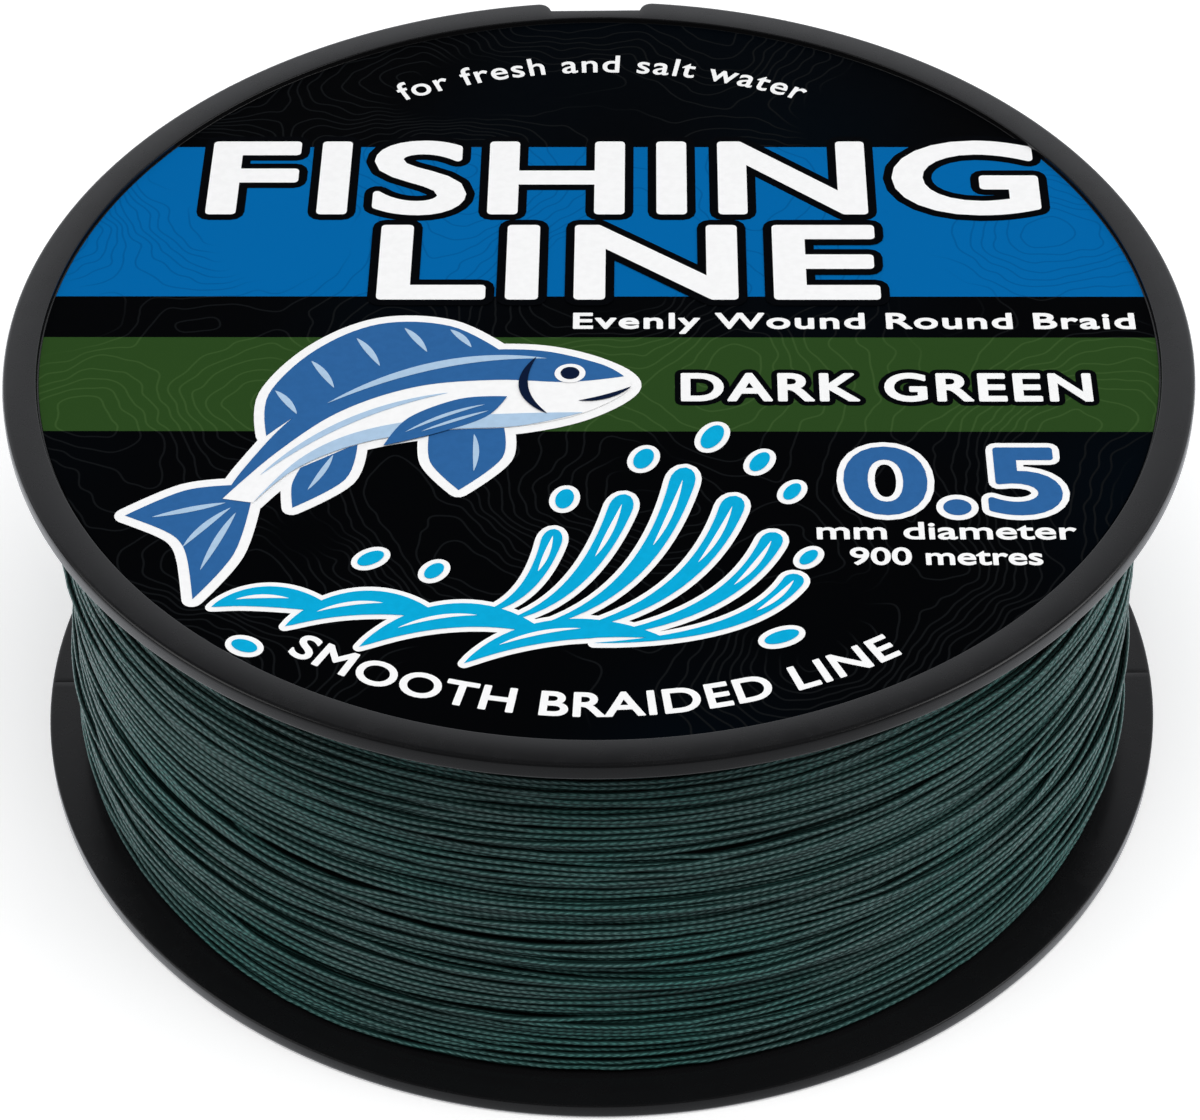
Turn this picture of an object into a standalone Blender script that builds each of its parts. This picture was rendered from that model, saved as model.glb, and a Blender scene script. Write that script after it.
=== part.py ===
"""A bulk fishing line spool: a one-piece moulded spool, its two labels and the line wound on it.

Metres, +Z up along the spool's axis. The origin is on the axis, at the plane that the lower
flange's lip stands on. The line notch in the upper flange faces +Y.
"""

import math

import bmesh
import bpy

# Spool body
FLANGE_RADIUS = 0.055
HEIGHT = 0.0454
RIM_THICKNESS = 0.00165  # of each flange at its rim
ROOT_THICKNESS = 0.0020  # of each flange where it meets the barrel
EDGE_ROUND = 0.00045  # rounding of the rim's two edges
LABEL_SEAT_RADIUS = 0.0519  # the raised lip lies outside it
LABEL_SEAT_DEPTH = 0.0006
WEB_THICKNESS = 0.00105  # of the plate under the face label
BARREL_RADIUS = 0.031
BARREL_WALL = 0.0016
BORE_RADIUS = 0.006
HUB_WALL = 0.0018
RIB_COUNT = 6
RIB_THICKNESS = 0.0014
RIB_FOOT = 0.003  # height at which the ribs end, above the standing plane
RIB_BITE = 0.0005  # how far a rib runs into the walls that it joins

# Line notch in the upper flange
NOTCH_FLOOR_WIDTH = 0.0093
NOTCH_DEPTH = 0.0015
NOTCH_SHOULDER = 0.0012  # radius of its two shoulders

# Line and what holds it
GAP = 0.0003  # between pieces that touch
LINE_DIAMETER = 0.0005
WINDING_RADIUS = 0.0517
OUTER_LAYER = 0.0010  # thickness of the outermost turns
ANCHOR_TAPE_LENGTH = 0.040
ANCHOR_TAPE_WIDTH = 0.015
TAPE_THICKNESS = 0.0003
END_TAPE_LENGTH = 0.022
END_TAPE_WIDTH = 0.012
END_TAPE_ANGLE = math.radians(128)  # round the axis from +X
END_TAPE_HEIGHT = 0.024
LINE_END_LENGTH = 0.055
LINE_END_TAIL = 0.004  # of the line, past the tape

# Labels
LABEL_THICKNESS = 0.0002
BACK_LABEL_INNER_RADIUS = 0.0315

SEGMENTS = 96
BARREL_INNER_RADIUS = BARREL_RADIUS - BARREL_WALL
HUB_RADIUS = BORE_RADIUS + HUB_WALL
WEB_UNDERSIDE = HEIGHT - LABEL_SEAT_DEPTH - WEB_THICKNESS
NOTCH_ANGLE = math.radians(90)


def clear_scene():
    for old in list(bpy.data.objects):
        bpy.data.objects.remove(old, do_unlink=True)


def make_material(name, colour, roughness):
    material = bpy.data.materials.new(name)
    material.use_nodes = True
    shader = material.node_tree.nodes["Principled BSDF"]
    shader.inputs["Base Color"].default_value = (*colour, 1.0)
    shader.inputs["Roughness"].default_value = roughness
    shader.inputs["Metallic"].default_value = 0.0
    return material


def object_from(mesh_data, name, material):
    """Turns a bmesh into a smooth-shaded object of the scene."""
    bmesh.ops.recalc_face_normals(mesh_data, faces=mesh_data.faces)
    mesh = bpy.data.meshes.new(name)
    mesh_data.to_mesh(mesh)
    mesh_data.free()
    mesh.shade_smooth()
    mesh.set_sharp_from_angle(angle=math.radians(30))
    obj = bpy.data.objects.new(name, mesh)
    bpy.context.scene.collection.objects.link(obj)
    if material:
        mesh.materials.append(material)
    return obj


def full_circle(count=SEGMENTS):
    return [math.tau * step / count for step in range(count)]


def turned_ring(name, profile_at, angles, material):
    """A closed ring round Z. profile_at(angle) gives its cross-section as (radius, height) points."""
    shape = bmesh.new()
    rings = []
    for angle in angles:
        across, along = math.cos(angle), math.sin(angle)
        rings.append([shape.verts.new((r * across, r * along, z)) for r, z in profile_at(angle)])
    for ring, following in zip(rings, rings[1:] + rings[:1]):
        for i, low in enumerate(ring):
            j = (i + 1) % len(ring)
            shape.faces.new((low, ring[j], following[j], following[i]))
    return object_from(shape, name, material)


def quarter_round(centre_r, centre_z, start_degrees, steps=3):
    """Points of a quarter circle of EDGE_ROUND, clockwise in the (radius, height) plane."""
    points = []
    for step in range(steps + 1):
        turn = math.radians(start_degrees - 90 * step / steps)
        points.append((centre_r + EDGE_ROUND * math.cos(turn), centre_z + EDGE_ROUND * math.sin(turn)))
    return points


def notch_corner():
    """Centre of the circle that rounds the notch's +side shoulder, as (sideways, outwards)."""
    sideways = NOTCH_FLOOR_WIDTH / 2 + NOTCH_SHOULDER
    return sideways, math.sqrt(FLANGE_RADIUS**2 - sideways**2) - NOTCH_SHOULDER


def notch_angles():
    """Angles from the notch's middle to its +side end: along the floor, then round the shoulder."""
    sideways, outwards = notch_corner()
    floor = FLANGE_RADIUS - NOTCH_DEPTH
    angles = [0.0, math.atan2(NOTCH_FLOOR_WIDTH / 4, floor), math.atan2(NOTCH_FLOOR_WIDTH / 2, floor)]
    for step in range(1, 5):
        turn = math.radians(180 - 22.5 * step)
        x = sideways + NOTCH_SHOULDER * math.cos(turn)
        y = outwards + NOTCH_SHOULDER * math.sin(turn)
        angles.append(math.atan2(x, y))
    return angles


def rim_radius(angle):
    """Radius of the upper flange's rim, which dips at the notch."""
    off = abs(math.remainder(angle - NOTCH_ANGLE, math.tau))
    sideways, outwards = notch_corner()
    floor = FLANGE_RADIUS - NOTCH_DEPTH
    if off <= math.atan2(NOTCH_FLOOR_WIDTH / 2, floor) + 1e-6:
        return floor / math.cos(off)
    if off >= math.atan2(sideways, outwards + NOTCH_SHOULDER) - 1e-6:
        return FLANGE_RADIUS
    along = sideways * math.sin(off) + outwards * math.cos(off)
    beside = sideways**2 + outwards**2 - NOTCH_SHOULDER**2
    return along + math.sqrt(max(along**2 - beside, 0.0))


def rim_angles():
    """Even steps round the rim, with the notch's own corners in place of those beside it."""
    half = notch_angles()
    ends = half[-1] + math.radians(1)
    even = [a for a in full_circle() if abs(math.remainder(a - NOTCH_ANGLE, math.tau)) > ends]
    notch = [NOTCH_ANGLE + off for off in half] + [NOTCH_ANGLE - off for off in half[1:]]
    return sorted(even + notch)


def flange_thickness(radius):
    """A flange thins evenly from the barrel to the rim, as a moulding's draft leaves it."""
    outwards = (radius - BARREL_RADIUS) / (FLANGE_RADIUS - BARREL_RADIUS)
    return ROOT_THICKNESS + (RIM_THICKNESS - ROOT_THICKNESS) * outwards


def body_profile(angle):
    """Cross-section of the moulding: both flanges, the barrel, the web and the hub tube."""
    upper = rim_radius(angle) - EDGE_ROUND
    lower = FLANGE_RADIUS - EDGE_ROUND
    points = quarter_round(upper, HEIGHT - EDGE_ROUND, 90)
    points += quarter_round(upper, HEIGHT - RIM_THICKNESS + EDGE_ROUND, 0)
    points += [(BARREL_RADIUS, HEIGHT - ROOT_THICKNESS), (BARREL_RADIUS, ROOT_THICKNESS)]
    points += quarter_round(lower, RIM_THICKNESS - EDGE_ROUND, 90)
    points += quarter_round(lower, EDGE_ROUND, 0)
    points += [(LABEL_SEAT_RADIUS, 0.0), (LABEL_SEAT_RADIUS, LABEL_SEAT_DEPTH)]
    points += [(BARREL_INNER_RADIUS, LABEL_SEAT_DEPTH), (BARREL_INNER_RADIUS, WEB_UNDERSIDE)]
    points += [(HUB_RADIUS, WEB_UNDERSIDE), (HUB_RADIUS, LABEL_SEAT_DEPTH)]
    points += [(BORE_RADIUS, LABEL_SEAT_DEPTH), (BORE_RADIUS, HEIGHT - LABEL_SEAT_DEPTH)]
    points += [(LABEL_SEAT_RADIUS, HEIGHT - LABEL_SEAT_DEPTH), (LABEL_SEAT_RADIUS, HEIGHT)]
    return points


def add_box(shape, corners):
    """A box in a bmesh, from its four corners in plan and its two heights."""
    plan, low, high = corners
    rings = [[shape.verts.new((x, y, z)) for x, y in plan] for z in (low, high)]
    shape.faces.new(rings[0])
    shape.faces.new(rings[1])
    for i in range(4):
        j = (i + 1) % 4
        shape.faces.new((rings[0][i], rings[0][j], rings[1][j], rings[1][i]))


def make_ribs():
    """The ribs between hub and barrel, as one helper that the body is joined with."""
    shape = bmesh.new()
    inner, outer = HUB_RADIUS - RIB_BITE, BARREL_INNER_RADIUS + RIB_BITE
    for number in range(RIB_COUNT):
        angle = math.tau * (number + 0.5) / RIB_COUNT
        across, along = math.cos(angle), math.sin(angle)
        plan = []
        for r, side in ((inner, -1), (outer, -1), (outer, 1), (inner, 1)):
            half = side * RIB_THICKNESS / 2
            plan.append((r * across - half * along, r * along + half * across))
        add_box(shape, (plan, RIB_FOOT, WEB_UNDERSIDE + RIB_BITE))
    ribs = object_from(shape, "rib_helper", None)
    ribs.hide_render = True
    ribs.display_type = "WIRE"
    return ribs


def make_spool_body(material):
    body = turned_ring("spool_body", body_profile, rim_angles(), material)
    join = body.modifiers.new("ribs", "BOOLEAN")
    join.operation = "UNION"
    join.solver = "EXACT"
    join.object = make_ribs()


def make_face_label(material):
    """A round sticker that covers the whole seat, bore included."""
    shape = bmesh.new()
    radius = LABEL_SEAT_RADIUS - GAP
    low = HEIGHT - LABEL_SEAT_DEPTH + GAP
    rings = []
    for z in (low, low + LABEL_THICKNESS):
        rings.append([shape.verts.new((radius * math.cos(a), radius * math.sin(a), z)) for a in full_circle()])
        shape.faces.new(rings[-1])
    for i in range(SEGMENTS):
        j = (i + 1) % SEGMENTS
        shape.faces.new((rings[0][i], rings[0][j], rings[1][j], rings[1][i]))
    object_from(shape, "face_label", material)


def make_back_label(material):
    """A ring sticker on the underside, round the open end of the barrel."""
    high = LABEL_SEAT_DEPTH - GAP
    low = high - LABEL_THICKNESS
    inner, outer = BACK_LABEL_INNER_RADIUS, LABEL_SEAT_RADIUS - GAP
    section = [(outer, high), (outer, low), (inner, low), (inner, high)]
    turned_ring("back_label", lambda angle: section, full_circle(), material)


def winding_section(inner, outer):
    """Cross-section of a band of turns that fills the space between the flanges."""
    points = []
    for radius in (outer, inner):
        points.append((radius, flange_thickness(radius) + GAP))
    for radius in (inner, outer):
        points.append((radius, HEIGHT - flange_thickness(radius) - GAP))
    return points


def make_winding(material):
    """The wound line, as its inner layers and its outermost turns."""
    tape_outside = BARREL_RADIUS + GAP + TAPE_THICKNESS
    layer_inside = WINDING_RADIUS - OUTER_LAYER
    inner = winding_section(tape_outside + GAP, layer_inside - GAP)
    outer = winding_section(layer_inside, WINDING_RADIUS)
    turned_ring("line_inner_layers", lambda angle: inner, full_circle(), material)
    turned_ring("line_outer_layer", lambda angle: outer, full_circle(), material)


def make_tape(name, radius, length, heights, middle, material):
    """A strip of tape that follows the round surface under it."""
    shape = bmesh.new()
    steps = 12
    stations = []
    for step in range(steps + 1):
        angle = middle + (step / steps - 0.5) * length / radius
        across, along = math.cos(angle), math.sin(angle)
        section = []
        for r, z in ((radius, 0), (radius + TAPE_THICKNESS, 0), (radius + TAPE_THICKNESS, 1), (radius, 1)):
            section.append(shape.verts.new((r * across, r * along, heights[z])))
        stations.append(section)
    shape.faces.new(stations[0])
    shape.faces.new(stations[-1])
    for here, there in zip(stations, stations[1:]):
        for i in range(4):
            j = (i + 1) % 4
            shape.faces.new((here[i], here[j], there[j], there[i]))
    object_from(shape, name, material)


def make_line_end(radius, material):
    """The last stretch of the line, lying on the turns below it and running under its tape."""
    curve = bpy.data.curves.new("line_end", "CURVE")
    curve.dimensions = "3D"
    curve.bevel_depth = LINE_DIAMETER / 2
    curve.bevel_resolution = 2
    curve.use_fill_caps = True
    curve.materials.append(material)
    spline = curve.splines.new("POLY")
    steps = 36
    spline.points.add(steps)
    last = END_TAPE_ANGLE + (END_TAPE_LENGTH / 2 + LINE_END_TAIL) / radius
    for step, point in enumerate(spline.points):
        angle = last - (1 - step / steps) * LINE_END_LENGTH / radius
        point.co = (radius * math.cos(angle), radius * math.sin(angle), END_TAPE_HEIGHT, 1.0)
    bpy.context.scene.collection.objects.link(bpy.data.objects.new("line_end", curve))


def main():
    clear_scene()
    plastic = make_material("black_plastic", (0.018, 0.018, 0.019), 0.38)
    print_film = make_material("printed_film", (0.012, 0.03, 0.045), 0.45)
    back_film = make_material("back_film", (0.03, 0.035, 0.04), 0.5)
    braid = make_material("moss_braid", (0.016, 0.035, 0.03), 0.55)
    tape = make_material("clear_tape", (0.55, 0.56, 0.55), 0.3)

    make_spool_body(plastic)
    make_face_label(print_film)
    make_back_label(back_film)
    make_winding(braid)
    anchor_low = HEIGHT / 2 - ANCHOR_TAPE_WIDTH / 2
    anchor_heights = (anchor_low, anchor_low + ANCHOR_TAPE_WIDTH)
    make_tape("anchor_tape", BARREL_RADIUS + GAP, ANCHOR_TAPE_LENGTH, anchor_heights, 0.0, tape)
    line_end_radius = WINDING_RADIUS + GAP + LINE_DIAMETER / 2
    make_line_end(line_end_radius, braid)
    end_tape_radius = line_end_radius + LINE_DIAMETER / 2 + GAP
    end_heights = (END_TAPE_HEIGHT - END_TAPE_WIDTH / 2, END_TAPE_HEIGHT + END_TAPE_WIDTH / 2)
    make_tape("end_tape", end_tape_radius, END_TAPE_LENGTH, end_heights, END_TAPE_ANGLE, tape)


main()
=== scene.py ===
"""The looks of the fishing line spool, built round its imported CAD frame.

The spool stands on its lower flange at z = 0, its axis is +Z and its line notch faces +Y.
"""

import math

import bmesh
import bpy
import numpy as np
from mathutils import Matrix, Vector
from mathutils.geometry import delaunay_2d_cdt


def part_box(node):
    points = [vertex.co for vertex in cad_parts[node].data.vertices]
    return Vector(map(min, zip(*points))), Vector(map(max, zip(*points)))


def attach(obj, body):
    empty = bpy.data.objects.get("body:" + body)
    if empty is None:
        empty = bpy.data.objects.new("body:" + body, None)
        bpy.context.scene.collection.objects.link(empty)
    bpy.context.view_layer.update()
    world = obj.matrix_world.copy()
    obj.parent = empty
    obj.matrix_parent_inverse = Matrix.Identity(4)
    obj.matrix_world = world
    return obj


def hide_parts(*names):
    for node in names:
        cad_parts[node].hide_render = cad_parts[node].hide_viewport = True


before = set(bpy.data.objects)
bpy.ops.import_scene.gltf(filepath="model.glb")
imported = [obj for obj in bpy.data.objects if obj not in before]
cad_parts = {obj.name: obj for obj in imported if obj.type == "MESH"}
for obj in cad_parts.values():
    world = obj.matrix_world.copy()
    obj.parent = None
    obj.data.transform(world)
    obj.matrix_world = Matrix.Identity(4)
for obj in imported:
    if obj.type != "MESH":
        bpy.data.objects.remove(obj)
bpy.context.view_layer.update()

MM = 0.001

# Sizes read from the CAD frame
FLANGE_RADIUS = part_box("spool_body")[1].x
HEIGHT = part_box("spool_body")[1].z
CAD_LABEL_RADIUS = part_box("face_label")[1].x
WINDING_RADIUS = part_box("line_outer_layer")[1].x
INNER_LOW, INNER_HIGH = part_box("line_inner_layers")
ANCHOR_LOW, ANCHOR_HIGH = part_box("anchor_tape")
TAPE_LOW, TAPE_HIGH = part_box("end_tape")

# The moulding's own details
RIM_THICKNESS = 1.65 * MM
ROOT_THICKNESS = 2.0 * MM
EDGE_ROUND = 0.45 * MM
INNER_EDGE_ROUND = 0.25 * MM  # of the rims' edges that face the winding
LABEL_SEAT_RADIUS = CAD_LABEL_RADIUS + 0.3 * MM
LABEL_SEAT_DEPTH = 0.6 * MM
WEB_THICKNESS = 1.05 * MM
BARREL_RADIUS = 31.0 * MM
BARREL_INNER_RADIUS = BARREL_RADIUS - 1.6 * MM
BORE_RADIUS = 6.0 * MM
HUB_RADIUS = BORE_RADIUS + 1.8 * MM
RIB_COUNT = 6
RIB_THICKNESS = 1.4 * MM
RIB_FOOT = 3.0 * MM
WEB_UNDERSIDE = HEIGHT - LABEL_SEAT_DEPTH - WEB_THICKNESS
NOTCH_FLOOR_HALF = 4.65 * MM
NOTCH_DEPTH = 1.5 * MM
NOTCH_SHOULDER = 1.2 * MM
NOTCH_ANGLE = math.radians(90)

# The line
STRAND_RADIUS = 0.26 * MM
LAYER_PITCHES = (0.53, 0.56, 0.60, 0.64, 0.70)  # mm from turn to turn, of the five layers laid last
DRAWN_LAYERS = ((180, 6), (200, 7), (208, 8))  # samples a turn and sides of a strand, of the last three
INNER_PITCH = 0.55 * MM  # of the turns below them
LAID_DEPTH = 2.6 * MM  # inside the CAD's ring, where their laying starts. make_winding then shifts them
CROWN_INSET = 0.38 * MM  # the turns' crowns lie this far inside the CAD's ring, and
CORE_INSET = 2.05 * MM  # the turns below them this far
WINDING_TAPER = 0.30 * MM  # the winding is this much fuller at its foot and slimmer at its top
PICK_LENGTH = 0.82 * MM  # of the braid: from one yarn's float to the next along the line
END_LENGTH = 55 * MM
END_OVERHANG = 3.6 * MM  # the free end stands this far past its tape

# The tapes
END_TAPE_ANGLE = math.radians(128)
END_TAPE_LENGTH = 22 * MM
ANCHOR_TAPE_LENGTH = 40 * MM
TAPE_THICKNESS = 0.07 * MM

# The labels and their print
LABEL_RADIUS = CAD_LABEL_RADIUS + 0.1 * MM
BACK_INNER_RADIUS = 31.5 * MM
FILM_THICKNESS = 0.18 * MM
LABEL_TURN = math.radians(-0.85)  # the sticker is laid a little askew
LABEL_TOP = HEIGHT - 0.42 * MM
PRINT_STEP = 0.015 * MM  # height that each printed layer adds
PRINT_SPECULAR = 0.005  # the laminate is matt
BLUE_BAND = (7.0 * MM, 30.4 * MM)
GREEN_BAND = (-12.4 * MM, 0.95 * MM)


# ---------------------------------------------------------------- mesh helpers


def new_object(name, mesh):
    obj = bpy.data.objects.new(name, mesh)
    bpy.context.scene.collection.objects.link(obj)
    return obj


def finish_piece(obj, material, slot, *nodes):
    """Gives a new piece its material and rides it on the one body. Its slot is not used."""
    obj.data.materials.clear()
    obj.data.materials.append(material)
    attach(obj, "root")
    if nodes:
        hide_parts(*nodes)


def mesh_of(name, points, faces, smooth=True, sharp=None):
    mesh = bpy.data.meshes.new(name)
    mesh.from_pydata(points, [], faces)
    mesh.update()
    if smooth:
        mesh.shade_smooth()
    if sharp is not None:
        mesh.set_sharp_from_angle(angle=math.radians(sharp))
    return mesh


def face_outwards(mesh):
    work = bmesh.new()
    work.from_mesh(mesh)
    bmesh.ops.recalc_face_normals(work, faces=work.faces)
    work.to_mesh(mesh)
    work.free()


def full_circle(count):
    return [math.tau * step / count for step in range(count)]


def turned_mesh(name, profile_at, angles, sharp=35):
    """A closed ring round Z, whose cross-section profile_at(angle) gives as (radius, height) points."""
    points, faces = [], []
    for angle in angles:
        across, along = math.cos(angle), math.sin(angle)
        points += [(r * across, r * along, z) for r, z in profile_at(angle)]
    count, turns = len(points) // len(angles), len(angles)
    for i in range(turns):
        here, there = i * count, (i + 1) % turns * count
        for j in range(count):
            k = (j + 1) % count
            faces.append((here + j, here + k, there + k, there + j))
    mesh = mesh_of(name, points, faces, sharp=sharp)
    face_outwards(mesh)
    return mesh


def rounded(corner, before, after, radius, steps=4):
    """Points that round a corner of a profile, between its two neighbours."""
    here, back, on = Vector(corner), Vector(before), Vector(after)
    inwards, outwards = (back - here).normalized(), (on - here).normalized()
    half = inwards.angle(outwards) / 2
    reach = min(radius / math.tan(half), 0.45 * (back - here).length, 0.45 * (on - here).length)
    first, last = here + inwards * reach, here + outwards * reach
    points = []
    for step in range(steps + 1):
        t = step / steps
        points.append(tuple(first * (1 - t) ** 2 + here * 2 * t * (1 - t) + last * t**2))
    return points


def rounded_profile(corners):
    """A closed profile from (radius, height, rounding) corners."""
    points = []
    for i, (r, z, rounding) in enumerate(corners):
        if rounding <= 0:
            points.append((r, z))
            continue
        before, after = corners[i - 1], corners[(i + 1) % len(corners)]
        points += rounded((r, z), before[:2], after[:2], rounding)
    return points


# ---------------------------------------------------------------- material helpers


class Signal:
    """What a shader node gives out. Its sums and products, and the methods below, are further nodes."""

    def __init__(self, socket):
        self.socket, self.tree = socket, socket.id_data

    def maths(self, operation, *others):
        values = dict(enumerate((self, *others)))
        return Signal(add_node(self.tree, "ShaderNodeMath", values, operation=operation).outputs[0])

    def __add__(self, other):
        return self.maths("ADD", other)

    def __sub__(self, other):
        return self.maths("SUBTRACT", other)

    def __mul__(self, other):
        return self.maths("MULTIPLY", other)

    def __truediv__(self, other):
        return self.maths("DIVIDE", other)

    def split(self):
        return [Signal(part) for part in add_node(self.tree, "ShaderNodeSeparateXYZ", {0: self}).outputs]

    def remapped(self, low, high, to_low=0.0, to_high=1.0):
        """Eases from to_low to to_high while the value goes from low to high."""
        inputs = {"Value": self, "From Min": low, "From Max": high, "To Min": to_low, "To Max": to_high}
        node = add_node(self.tree, "ShaderNodeMapRange", inputs, interpolation_type="SMOOTHSTEP")
        return Signal(node.outputs["Result"])

    def between(self, first, second):
        """The colour that lies this share of the way from the first to the second."""
        node = add_node(self.tree, "ShaderNodeMix", {0: self, 6: first, 7: second}, data_type="RGBA")
        return Signal(node.outputs[2])

    def noise(self, scale, detail=2.0, roughness=0.5, output="Fac"):
        inputs = {"Vector": self, "Scale": scale, "Detail": detail, "Roughness": roughness}
        return Signal(add_node(self.tree, "ShaderNodeTexNoise", inputs).outputs[output])

    def stretched(self, scale):
        return Signal(add_node(self.tree, "ShaderNodeMapping", {"Vector": self, "Scale": scale}).outputs[0])


def plug(slot, value):
    """Feeds a node's input with a Signal, a number, a vector or an (r, g, b)."""
    if isinstance(value, Signal):
        value.tree.links.new(value.socket, slot)
    else:
        slot.default_value = (*value, 1.0) if slot.type == "RGBA" else value


def add_node(tree, kind, inputs=None, **settings):
    node = tree.nodes.new(kind)
    for name, value in settings.items():
        setattr(node, name, value)
    for name, value in (inputs or {}).items():
        plug(node.inputs[name], value)
    return node


def new_material(name):
    """A material, and the place on the object that it is seen at."""
    material = bpy.data.materials.new(name)
    material.use_nodes = True
    return material, Signal(add_node(material.node_tree, "ShaderNodeTexCoord").outputs["Object"])


def dressed(material, inputs, bump=None):
    """The material with its shader's inputs set, and a bump of (height, distance, strength)."""
    tree = material.node_tree
    if bump:
        node = add_node(tree, "ShaderNodeBump", dict(zip(("Height", "Distance", "Strength"), bump)))
        inputs["Normal"] = Signal(node.outputs["Normal"])
    for name, value in inputs.items():
        plug(tree.nodes["Principled BSDF"].inputs[name], value)
    return material


# ---------------------------------------------------------------- materials


def moulded_plastic():
    """Black injection-moulded plastic: faint flow marks, a fine satin texture and light rub marks."""
    material, place = new_material("moulded_black")
    flow = place.noise(55.0, detail=3.0)
    rub = place.stretched((1.0, 1.0, 6.0)).noise(420.0, detail=4.0, roughness=0.7)
    return dressed(material, {
        "Base Color": flow.between((0.0050, 0.0050, 0.0055), (0.0080, 0.0080, 0.0086)),
        "Roughness": rub.remapped(0.35, 0.75, 0.0, 0.07) + 0.21 + flow * 0.05,
        "IOR": 1.5,
    }, bump=(place.noise(5200.0, detail=1.0), 0.004 * MM, 0.6))


def braid():
    """Coated eight-yarn braid: chevrons of yarn a pick apart. Its light is painted: a green painted highlight
    on each strand's upper outer side, and nearly black painted shade on its sides and underside.
    """
    material, place = new_material("moss_braid")
    line = Signal(add_node(material.node_tree, "ShaderNodeUVMap", uv_map="line_uv").outputs["UV"])
    u, v, _ = line.split()
    spin = (u * 0.023).maths("SINE") * 0.2
    column = (v + spin) * 4.0
    yarn = ((u + column.maths("PINGPONG", 0.5)) * math.tau).maths("SINE").maths("MULTIPLY_ADD", 0.5, 0.5)
    dive = (column * math.tau).maths("SINE").maths("ABSOLUTE")
    float_height = yarn * dive.maths("MULTIPLY_ADD", 0.55, 0.45)
    fibre = line.stretched((3.0, 60.0, 1.0)).noise(1.0, detail=3.0, roughness=0.6)
    # how squarely each point round a strand faces up and out, where the light falls, turned a little upwards;
    # the painted highlight and painted shade below are drawn from it
    facing_light = ((v - 0.07) * math.tau).maths("COSINE")
    painted_highlight = facing_light.remapped(0.77, 1.0)
    patch = place.noise(70.0, detail=3.0).remapped(0.35, 0.7)
    # colour of the painted highlight: the line's green, brighter and whiter, in random patches
    green = patch.between((0.134, 0.252, 0.238), (0.080, 0.262, 0.236))
    # painted shade: the strand's sides and underside nearly black, a little lighter as they turn towards the
    # light
    body = facing_light.remapped(0.1, 0.8).between((0.0002, 0.0055, 0.0050), (0.010, 0.044, 0.039))
    # the painted highlight, broken up by the yarn floats
    highlight_share = painted_highlight * float_height.remapped(0.05, 0.75, 0.3, 1.0)
    return dressed(material, {
        "Base Color": highlight_share.between(body, green),
        "Roughness": fibre.remapped(0.3, 0.7, 0.72, 0.84) - painted_highlight * 0.48,
        "Specular IOR Level": 0.36,
    }, bump=(float_height + fibre * 0.25, 0.07 * MM, 1.0))


def shaded_inner_braid():
    """The turns below the outermost ones, which show only between them. They are painted shade: the same line
    painted nearly black-green, banded lighter and darker a turn apart.
    """
    material, place = new_material("shaded_inner_braid")
    turn = (place.split()[2] * (math.tau / INNER_PITCH)).maths("SINE")
    # painted shade: the deep turns are painted far darker than the line's own green
    colour = turn.remapped(-1.0, 1.0).between((0.0012, 0.004, 0.0035), (0.006, 0.02, 0.016))
    return dressed(material, {"Base Color": colour, "Roughness": 0.6}, bump=(turn, 0.1 * MM, 0.8))


def contour_lines(place, scale, count, width):
    """1 on fine wandering lines like a depth chart's, 0 between them and in some patches."""
    step = 0.08 * MM

    def vector_maths(operation, *values):
        inputs = dict(enumerate(values))
        return Signal(add_node(place.tree, "ShaderNodeVectorMath", inputs, operation=operation).outputs[0])

    def height_at(offset):
        moved = vector_maths("ADD", place, offset)
        drift = moved.noise(scale * 5.0, detail=1.0, output="Color")
        bent = vector_maths("MULTIPLY_ADD", drift, (3.4 * MM, 3.4 * MM, 0), moved)
        return bent.noise(scale, detail=0.5) * count

    here, across, up = (height_at(offset) for offset in ((0, 0, 0), (step, 0, 0), (0, step, 0)))
    slope = ((across - here).maths("POWER", 2.0) + (up - here).maths("POWER", 2.0)).maths("SQRT")
    away = here.maths("PINGPONG", 0.5) / slope.maths("MAXIMUM", 0.004) * step
    return away.remapped(width, width * 0.4) * place.noise(46.0, detail=0.0).remapped(0.38, 0.45)


def printed_label():
    """The face label's ground: black, with a blue and a green band and faint contour lines."""
    material, place = new_material("label_print")
    x, y, _ = place.split()
    up = y + x * math.tan(-LABEL_TURN)

    def band(low, high):
        return up.maths("GREATER_THAN", low) * up.maths("LESS_THAN", high)

    lines = contour_lines(place, 42.0, 40.0, 0.13 * MM)
    glow = place.noise(18.0, detail=1.0).remapped(0.45, 0.7)
    night = glow.between((0.0008, 0.0010, 0.0014), (0.0006, 0.0022, 0.0042))
    black = lines.between(night, (0.0056, 0.0064, 0.0072))
    blue = lines.between((0.0006, 0.125, 0.375), (0.0005, 0.100, 0.305))
    green = lines.between((0.0225, 0.060, 0.0130), (0.036, 0.082, 0.021))
    laminate = place.noise(900.0)
    return dressed(material, {
        "Base Color": band(*GREEN_BAND).between(band(*BLUE_BAND).between(black, blue), green),
        "Roughness": laminate.remapped(0.3, 0.7, 0.42, 0.50),
        "Specular IOR Level": PRINT_SPECULAR,
    }, bump=(laminate, 0.004 * MM, 0.3))


def ink(name, colour, second=None):
    """A printed colour, with the slight mottle of ink on film."""
    material, place = new_material(name)
    mottle = place.noise(1500.0)
    other = second or tuple(0.94 * c for c in colour)
    return dressed(material, {
        "Base Color": mottle.remapped(0.3, 0.7).between(colour, other),
        "Roughness": mottle.remapped(0.3, 0.7, 0.42, 0.50),
        "Specular IOR Level": PRINT_SPECULAR,
    })


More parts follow.
